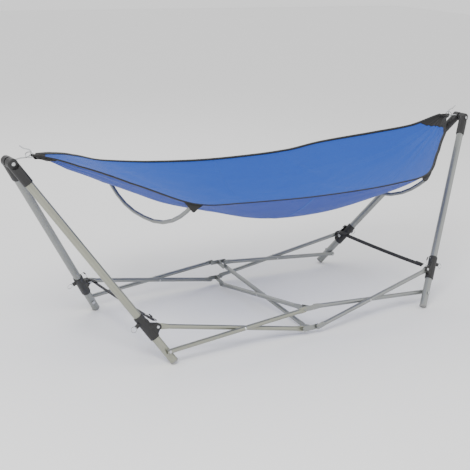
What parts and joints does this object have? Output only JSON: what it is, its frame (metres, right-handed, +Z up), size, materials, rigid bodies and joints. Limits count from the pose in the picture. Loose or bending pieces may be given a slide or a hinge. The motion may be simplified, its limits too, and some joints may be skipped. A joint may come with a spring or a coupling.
{
  "type": "folding hammock stand with fabric bed",
  "caption": "Folding steel stand with splayed legs, scissor base and wire hooks, holding a blue fabric hammock bed kept open by bent spreader tubes.",
  "frame": {"origin": "on the floor under the middle of the stand", "axes": "+X towards the right-hand end of the hammock, +Y towards the far side, +Z up"},
  "size_m": [2.339, 0.761, 0.8255],
  "materials": {
    "frame_steel": "satin grey powder coat",
    "pin_steel": "bright zinc",
    "black_plastic": "matte",
    "grey_plastic": "matte",
    "blue_fabric": "woven polyester",
    "black_webbing": "woven webbing"
  },
  "bodies": {
    "stand_middle": {"near_lower_bracket": "frame_steel", "left_bracket_strap": "black_webbing", "right_bracket_strap": "black_webbing"},
    "near_left_ear_arm": {"near_left_ear_tube": "frame_steel", "near_left_crossing_rivet": "pin_steel"},
    "near_left_pivot_arm": {"near_left_pivot_tube": "frame_steel", "near_left_leg_bolt": "pin_steel"},
    "near_left_leg": {"near_left_leg": "frame_steel", "near_left_foot_plug": "grey_plastic", "near_left_head_cap": "black_plastic", "left_head_bolt": "pin_steel", "left_hook": "pin_steel"},
    "near_left_bracket": {"near_left_leg_bracket": "black_plastic", "near_left_ear_bolt": "pin_steel"},
    "near_left_lock": {"near_left_lock_pin": "pin_steel"},
    "near_upper_bracket": {"near_upper_bracket": "frame_steel"},
    "near_right_ear_arm": {"near_right_ear_tube": "frame_steel", "near_right_crossing_rivet": "pin_steel"},
    "near_right_pivot_arm": {"near_right_pivot_tube": "frame_steel", "near_right_leg_bolt": "pin_steel"},
    "near_right_leg": {"near_right_leg": "frame_steel", "near_right_foot_plug": "grey_plastic", "near_right_head_cap": "black_plastic", "right_head_bolt": "pin_steel", "right_hook": "pin_steel"},
    "near_right_bracket": {"near_right_leg_bracket": "black_plastic", "near_right_ear_bolt": "pin_steel"},
    "near_right_lock": {"near_right_lock_pin": "pin_steel"},
    "middle_rising_arm": {"middle_rising_tube": "frame_steel", "middle_crossing_rivet": "pin_steel"},
    "middle_falling_arm": {"middle_falling_tube": "frame_steel"},
    "far_lower_bracket": {"far_lower_bracket": "frame_steel"},
    "far_left_ear_arm": {"far_left_ear_tube": "frame_steel", "far_left_crossing_rivet": "pin_steel"},
    "far_left_pivot_arm": {"far_left_pivot_tube": "frame_steel", "far_left_leg_bolt": "pin_steel"},
    "far_left_leg": {"far_left_leg": "frame_steel", "far_left_foot_plug": "grey_plastic", "far_left_head_cap": "black_plastic", "left_head_nut": "pin_steel"},
    "far_left_bracket": {"far_left_leg_bracket": "black_plastic", "far_left_ear_bolt": "pin_steel"},
    "far_left_lock": {"far_left_lock_pin": "pin_steel"},
    "far_right_ear_arm": {"far_right_ear_tube": "frame_steel", "far_right_crossing_rivet": "pin_steel"},
    "far_right_pivot_arm": {"far_right_pivot_tube": "frame_steel", "far_right_leg_bolt": "pin_steel"},
    "far_right_leg": {"far_right_leg": "frame_steel", "far_right_foot_plug": "grey_plastic", "far_right_head_cap": "black_plastic", "right_head_nut": "pin_steel"},
    "far_right_bracket": {"far_right_leg_bracket": "black_plastic", "far_right_ear_bolt": "pin_steel"},
    "far_right_lock": {"far_right_lock_pin": "pin_steel"},
    "far_upper_bracket": {"far_upper_bracket": "frame_steel"},
    "bed_hangers": {"left_bed_end": "black_webbing", "right_bed_end": "black_webbing"},
    "bed": {"bed_fabric": "blue_fabric", "left_spreader_arch": "frame_steel", "right_spreader_arch": "frame_steel"}
  },
  "joints": [
    {"name": "fold", "type": "hinge", "parent": "stand_middle", "child": "near_left_ear_arm", "pos_m": [-0.0316, -0.34477, 0.02803], "axis": [0.0384, 0.9774, -0.2078], "range_deg": [0, 63.67], "deforming": ["left_bracket_strap", "right_bracket_strap"]},
    {"name": "near_left_pivot_arm_hinge", "type": "hinge", "parent": "near_left_ear_arm", "child": "near_left_pivot_arm", "pos_m": [-0.32776, -0.33091, 0.0857], "axis": [-0.0384, -0.9774, 0.2078], "range_deg": [0, 134.05]},
    {"name": "near_left_leg_hinge", "type": "hinge", "parent": "near_left_pivot_arm", "child": "near_left_leg", "pos_m": [-0.6695, -0.30562, 0.05345], "axis": [0.0454, 0.9767, -0.2098], "range_deg": [0, 99.72]},
    {"name": "near_left_bracket_slide", "type": "slide", "parent": "near_left_leg", "child": "near_left_bracket", "axis": [-0.5302, 0.313, 0.788], "range_m": [0, 0.5922]},
    {"name": "near_left_lock", "type": "slide", "parent": "near_left_bracket", "child": "near_left_lock", "axis": [-0.8479, -0.1957, -0.4928], "range_m": [0, 0.008], "stiffness_N_per_m": 900, "springref_m": -0.004},
    {"name": "near_upper_bracket_hinge", "type": "hinge", "parent": "near_left_pivot_arm", "child": "near_upper_bracket", "pos_m": [-0.03235, -0.34688, 0.11231], "axis": [0.0384, 0.9774, -0.2078], "range_deg": [0, 70.37]},
    {"name": "near_right_ear_arm_hinge", "type": "hinge", "parent": "stand_middle", "child": "near_right_ear_arm", "pos_m": [0.03235, -0.36393, 0.0321], "axis": [0.0384, -0.9774, 0.2078], "range_deg": [0, 63.69]},
    {"name": "near_right_pivot_arm_hinge", "type": "hinge", "parent": "near_right_ear_arm", "child": "near_right_pivot_arm", "pos_m": [0.32776, -0.33091, 0.0857], "axis": [-0.0384, 0.9774, -0.2078], "range_deg": [0, 134.05]},
    {"name": "near_right_leg_hinge", "type": "hinge", "parent": "near_right_pivot_arm", "child": "near_right_leg", "pos_m": [0.67091, -0.3414, 0.06105], "axis": [0.0454, -0.9767, 0.2098], "range_deg": [0, 99.72]},
    {"name": "near_right_bracket_slide", "type": "slide", "parent": "near_right_leg", "child": "near_right_bracket", "axis": [0.5257, 0.3505, 0.7751], "range_m": [0, 0.589]},
    {"name": "near_right_lock", "type": "slide", "parent": "near_right_bracket", "child": "near_right_lock", "axis": [0.8507, -0.2166, -0.479], "range_m": [0, 0.008], "stiffness_N_per_m": 900, "springref_m": -0.004},
    {"name": "middle_rising_arm_hinge", "type": "hinge", "parent": "stand_middle", "child": "middle_rising_arm", "pos_m": [0.0098, -0.29589, 0.01764], "axis": [1, 0, 0], "range_deg": [0, 54.15]},
    {"name": "middle_falling_arm_hinge", "type": "hinge", "parent": "middle_rising_arm", "child": "middle_falling_arm", "pos_m": [0.0098, 0, 0.05954], "axis": [-1, 0, 0], "range_deg": [0, 134.83]},
    {"name": "far_lower_bracket_hinge", "type": "hinge", "parent": "middle_falling_arm", "child": "far_lower_bracket", "pos_m": [-0.0098, 0.29589, 0.01764], "axis": [1, 0, 0], "range_deg": [0, 54.15]},
    {"name": "far_left_ear_arm_hinge", "type": "hinge", "parent": "far_lower_bracket", "child": "far_left_ear_arm", "pos_m": [-0.0316, 0.34477, 0.02803], "axis": [-0.0384, 0.9774, 0.2078], "range_deg": [0, 63.69]},
    {"name": "far_left_pivot_arm_hinge", "type": "hinge", "parent": "far_left_ear_arm", "child": "far_left_pivot_arm", "pos_m": [-0.32776, 0.33091, 0.0857], "axis": [0.0384, -0.9774, -0.2078], "range_deg": [0, 134.05]},
    {"name": "far_left_leg_hinge", "type": "hinge", "parent": "far_left_pivot_arm", "child": "far_left_leg", "pos_m": [-0.6695, 0.30562, 0.05345], "axis": [-0.0454, 0.9767, 0.2098], "range_deg": [0, 99.72]},
    {"name": "far_left_bracket_slide", "type": "slide", "parent": "far_left_leg", "child": "far_left_bracket", "axis": [-0.5302, -0.313, 0.788], "range_m": [0, 0.5922]},
    {"name": "far_left_lock", "type": "slide", "parent": "far_left_bracket", "child": "far_left_lock", "axis": [-0.8479, 0.1957, -0.4928], "range_m": [0, 0.008], "stiffness_N_per_m": 900, "springref_m": -0.004},
    {"name": "far_right_ear_arm_hinge", "type": "hinge", "parent": "far_lower_bracket", "child": "far_right_ear_arm", "pos_m": [0.03235, 0.36393, 0.0321], "axis": [-0.0384, -0.9774, -0.2078], "range_deg": [0, 63.69]},
    {"name": "far_right_pivot_arm_hinge", "type": "hinge", "parent": "far_right_ear_arm", "child": "far_right_pivot_arm", "pos_m": [0.32776, 0.33091, 0.0857], "axis": [0.0384, 0.9774, 0.2078], "range_deg": [0, 134.05]},
    {"name": "far_right_leg_hinge", "type": "hinge", "parent": "far_right_pivot_arm", "child": "far_right_leg", "pos_m": [0.67091, 0.3414, 0.06105], "axis": [-0.0454, -0.9767, -0.2098], "range_deg": [0, 99.72]},
    {"name": "far_right_bracket_slide", "type": "slide", "parent": "far_right_leg", "child": "far_right_bracket", "axis": [0.5257, -0.3505, 0.7751], "range_m": [0, 0.589]},
    {"name": "far_right_lock", "type": "slide", "parent": "far_right_bracket", "child": "far_right_lock", "axis": [0.8507, 0.2166, -0.479], "range_m": [0, 0.008], "stiffness_N_per_m": 900, "springref_m": -0.004},
    {"name": "far_upper_bracket_hinge", "type": "hinge", "parent": "far_right_pivot_arm", "child": "far_upper_bracket", "pos_m": [0.0316, 0.32773, 0.10824], "axis": [-0.0384, -0.9774, -0.2078], "range_deg": [0, 70.37]},
    {"name": "bed_lift", "type": "slide", "parent": "stand_middle", "child": "bed_hangers", "axis": [0, 0, 1], "range_m": [0, 1.3005]},
    {"name": "bed_swing", "type": "hinge", "parent": "bed_hangers", "child": "bed", "pos_m": [0, 0, 0.789], "axis": [1, 0, 0], "range_deg": [-15, 15]}
  ],
  "couplings": [
    {"joint": "near_left_pivot_arm_hinge", "follows": "fold", "ratio": 2.1049},
    {"joint": "near_left_leg_hinge", "follows": "fold", "ratio": 1.5657},
    {"joint": "near_left_bracket_slide", "follows": "fold", "m_per_rad": 0.53245},
    {"joint": "near_upper_bracket_hinge", "follows": "fold", "ratio": 1.1049},
    {"joint": "near_right_ear_arm_hinge", "follows": "fold", "ratio": 1},
    {"joint": "near_right_pivot_arm_hinge", "follows": "fold", "ratio": 2.1049},
    {"joint": "near_right_leg_hinge", "follows": "fold", "ratio": 1.5657},
    {"joint": "near_right_bracket_slide", "follows": "fold", "m_per_rad": 0.52953},
    {"joint": "middle_rising_arm_hinge", "follows": "fold", "ratio": 0.8501},
    {"joint": "middle_falling_arm_hinge", "follows": "fold", "ratio": 2.1173},
    {"joint": "far_lower_bracket_hinge", "follows": "fold", "ratio": 0.8501},
    {"joint": "far_left_ear_arm_hinge", "follows": "fold", "ratio": 1},
    {"joint": "far_left_pivot_arm_hinge", "follows": "fold", "ratio": 2.1049},
    {"joint": "far_left_leg_hinge", "follows": "fold", "ratio": 1.5657},
    {"joint": "far_left_bracket_slide", "follows": "fold", "m_per_rad": 0.53245},
    {"joint": "far_right_ear_arm_hinge", "follows": "fold", "ratio": 1},
    {"joint": "far_right_pivot_arm_hinge", "follows": "fold", "ratio": 2.1049},
    {"joint": "far_right_leg_hinge", "follows": "fold", "ratio": 1.5657},
    {"joint": "far_right_bracket_slide", "follows": "fold", "m_per_rad": 0.52953},
    {"joint": "far_upper_bracket_hinge", "follows": "fold", "ratio": 1.1049},
    {"joint": "bed_lift", "follows": "fold", "m_per_rad": 1.1698}
  ]
}
